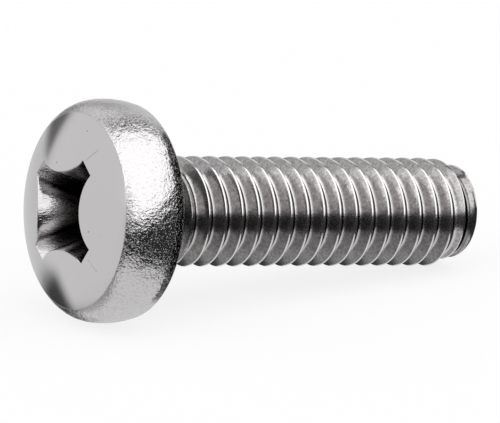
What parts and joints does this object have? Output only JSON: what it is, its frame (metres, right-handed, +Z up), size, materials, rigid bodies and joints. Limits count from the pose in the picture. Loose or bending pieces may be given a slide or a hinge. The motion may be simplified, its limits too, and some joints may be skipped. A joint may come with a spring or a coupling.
{
  "type": "machine screw",
  "caption": "Pan head machine screw with a cross recess and a fine rolled thread up to its head, lying on its side, for joining small parts",
  "frame": {"origin": "centre of the bottom of the bounding box, on the surface the screw lies on", "axes": "+X runs from the head towards the threaded end, with the screw's axis sloping down towards the end; +Z is up; +Y completes the right-handed frame"},
  "size_m": [0.0172, 0.008, 0.008],
  "materials": {
    "steel": "plain stainless steel: a smooth, faintly scratched dome, a dull mottled side with dark flecks, bright rolled crests"
  },
  "bodies": {
    "root": {"screw": "steel"}
  },
  "joints": []
}
